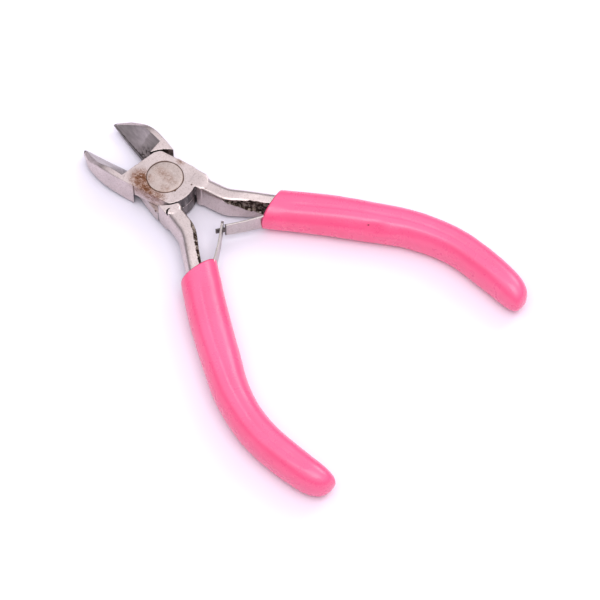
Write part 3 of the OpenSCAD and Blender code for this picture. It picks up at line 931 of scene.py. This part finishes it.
def steel_material(name, base, seed, rough=0.36, marks=False, ring=None, stains=(), spots=(),
                   soot_and_shade=False):
    s = Shader(name)
    fine = s.noise(4300, 3, 0.65, seed=seed)
    mid = s.noise(1500, 4, 0.65, seed=seed + 1)
    broad = s.noise(160, 3, seed=seed + 2)
    duller, brighter = tuple(0.92 * c for c in base), tuple(1.06 * c for c in base)
    color = s.mix(s.band(broad, 0.3, 0.7), duller, brighter)
    color = s.mix(s.times(s.band(mid, 0.54, 0.66), 0.42), color, WORN)
    color = s.mix(s.times(s.band(mid, 0.46, 0.36), 0.30), color, BRIGHT)
    color = s.mix(s.times(s.band(fine, 0.55, 0.65), 0.50), color, GRAIN)
    # painted shade in the corners and hollows, taken from occlusion, together with grime that
    # settles there
    hollow = s.node("ShaderNodeAmbientOcclusion", samples=8, only_local=False)
    hollow.inputs["Distance"].default_value = 2.2 * MM
    grime_and_shade = s.band(s.plus(hollow.outputs["AO"], s.times(mid, 0.25)), 0.62, 0.30)
    color = s.mix(s.times(grime_and_shade, 0.75), color, GRIME_AND_SHADE)
    # scattered specks
    specks = s.band(s.cells(750, seed), 0.10, 0.04)
    chosen = s.band(s.noise(300, 1, seed=seed + 5), 0.60, 0.66)
    color = s.mix(s.times(s.times(specks, chosen), 0.85), color, SPECK)
    roughness = s.plus(s.times(fine, 0.175), rough - 0.08)
    if marks:
        color, roughness = forged_marks(s, color, roughness, seed)
    for stain in stains:
        color, roughness = rust_stain(s, color, roughness, fine, seed, stain)
    for x, y, z, r in spots:
        color = s.mix(s.times(s.near(x, y, z, r, 0.5), 0.9), color, SPOT)
    if ring is not None:
        color = ring_line(s, color, ring, seed)
    # the springs painted dark where the tongue passes the slot: painted shadow with some soot
    if soot_and_shade:
        color = s.mix(s.times(s.attribute("soot_and_shade"), 0.85), color, SPRING_SOOT_AND_SHADE)
    height = s.plus(s.times(fine, 0.5), s.times(mid, 0.8))
    normal = s.bump(height, 0.45, 0.08 * MM)
    normal = s.bump(broad, 0.2, 0.3 * MM, normal)
    return s.finish(color, roughness, normal, Metallic=1.0)


def vinyl_material(name, seed, dot=None):
    s = Shader(name)
    broad = s.noise(70, 3, seed=seed)
    mid = s.noise(380, 3, seed=seed + 1)
    color = s.mix(s.band(broad, 0.3, 0.7), *VINYL)
    if dot is not None:
        color = s.mix(s.near(*dot, 0.5), color, VINYL_DOT)
    roughness = s.band(mid, 0.2, 0.8, 0.24, 0.34)
    return s.finish(color, roughness, IOR=1.6)


def assign(piece, material):
    piece.data.materials.clear()
    piece.data.materials.append(material)


# stains: x, y, z, radius, squash and amount. spots: x, y, z and radius. All in mm.
plate_upper = steel_material(
    "plated_steel_upper", PLATE, 1.0, marks=True, ring=HEAD_R + 0.05,
    stains=((3.7, 4.4, TOP, 4.2, FLAT, 1.0), (4.9, 4.2, TOP, 3.0, FLAT, 0.9),
            (-0.9, 5.4, TOP, 3.2, FLAT, 1.0), (1.4, 5.3, TOP, 3.0, FLAT, 1.0),
            (-3.4, 5.0, TOP, 2.0, FLAT, 0.7), (0.3, -5.9, TOP, 1.7, ROUND, 0.6),
            (3.0, 6.6, TOP - 1.0, 2.2, ROUND, 0.25)),
    spots=((-4.5, 1.2, TOP, 0.42), (-6.3, -2.8, TOP, 0.30), (-9.6, -4.4, TOP, 0.18)))
plate_lower = steel_material("plated_steel_lower", PLATE, 2.0, marks=True,
                             spots=((-3.2, 6.9, 3.7, 0.42), (-8.0, 8.6, TOP, 0.18)))
rivet_steel = steel_material(
    "rivet_steel", RIVET, 3.0, rough=0.42, ring=HEAD_R - 0.02,
    stains=((0.6, -0.4, TOP, 3.0, (0.5, 1.6, 1), 0.40), (-2.4, 2.6, TOP, 2.2, ROUND, 0.40),
            (2.4, 2.8, TOP, 1.9, ROUND, 0.5)))
spring_steel = steel_material("spring_steel", SPRING, 4.0, rough=0.34, soot_and_shade=True)
pink_upper = vinyl_material("pink_vinyl_upper", 1.0, dot=(-45.6, -23.7, 7.55, 0.30))
pink_lower = vinyl_material("pink_vinyl_lower", 5.0)

assign(make_lever("upper_lever_forging", "upper_lever", "upper_half", True), plate_upper)
assign(make_lever("lower_lever_forging", "lower_lever", "lower_half", False), plate_lower)
assign(make_grip("upper_sleeve", "upper_grip", "upper_half", True), pink_upper)
assign(make_grip("lower_sleeve", "lower_grip", "lower_half", False), pink_lower)
assign(make_leaf("tongue_spring", ("tongue_leaf", "tongue_leaf_tail"),
                 True), spring_steel)
assign(make_leaf("slotted_spring", ("slotted_leaf", "slotted_leaf_tail"),
                 False), spring_steel)
assign(make_rivet(), rivet_steel)
for node in ("upper_leaf_rivet", "lower_leaf_rivet"):
    assign(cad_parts[node], rivet_steel)


# ---------------------------------------------------------------- floor and light
WORLD_LOW, WORLD_HIGH = 0.14, 1.1                   # strength below and above the horizon
WORLD_TINT = (0.97, 0.945, 1.0, 1)
HORIZON_FROM, HORIZON_TO = 0.35, 0.65
PAPER_HALF = 1.6


def make_stage():
    corners = ((-1, -1), (1, -1), (1, 1), (-1, 1))
    mesh = bpy.data.meshes.new("paper")
    mesh.from_pydata([(PAPER_HALF * x, PAPER_HALF * y, FLOOR_Z) for x, y in corners],
                     [], [(0, 1, 2, 3)])
    paper = bpy.data.objects.new("paper", mesh)
    bpy.context.scene.collection.objects.link(paper)
    s = Shader("paper")
    color = s.mix(s.band(s.noise(60, 2), 0.3, 0.7), *PAPER)
    assign(paper, s.finish(color, 0.9, s.bump(s.noise(2500, 2), 0.05, 0.1 * MM)))


def area_light(name, place, size, power):
    """A soft light aimed at the pivot."""
    data = bpy.data.lights.new(name, "AREA")
    data.shape = "RECTANGLE"
    data.size, data.size_y = size
    data.energy = power
    light = bpy.data.objects.new(name, data)
    light.location = place
    light.rotation_euler = (-Vector(place)).to_track_quat("-Z", "Y").to_euler()
    bpy.context.scene.collection.objects.link(light)


def make_light():
    ca, sa = math.cos(CAMERA_AZIMUTH), math.sin(CAMERA_AZIMUTH)
    right, away = Vector((ca, sa, 0)), Vector((-sa, ca, 0))
    overhead = 0.10 * right - 0.30 * away + Vector((0, 0, 1.1))
    window = 0.8 * right + 0.7 * away + Vector((0, 0, 0.95))
    area_light("overhead", tuple(overhead), (0.85, 0.7), 5.4)
    area_light("window", tuple(window), (0.6, 0.6), 4.0)
    world = bpy.data.worlds.new("studio")
    world.use_nodes = True
    tree = world.node_tree
    background = tree.nodes["Background"]
    background.inputs["Color"].default_value = WORLD_TINT
    split = tree.nodes.new("ShaderNodeSeparateXYZ")
    fade = tree.nodes.new("ShaderNodeMapRange")
    tree.links.new(tree.nodes.new("ShaderNodeTexCoord").outputs["Generated"], split.inputs[0])
    tree.links.new(split.outputs[2], fade.inputs["Value"])
    fade.inputs["From Min"].default_value = HORIZON_FROM
    fade.inputs["From Max"].default_value = HORIZON_TO
    fade.inputs["To Min"].default_value = WORLD_LOW
    fade.inputs["To Max"].default_value = WORLD_HIGH
    tree.links.new(fade.outputs[0], background.inputs["Strength"])
    bpy.context.scene.world = world
    bpy.context.scene.view_settings.view_transform = "Standard"


make_stage()
make_light()
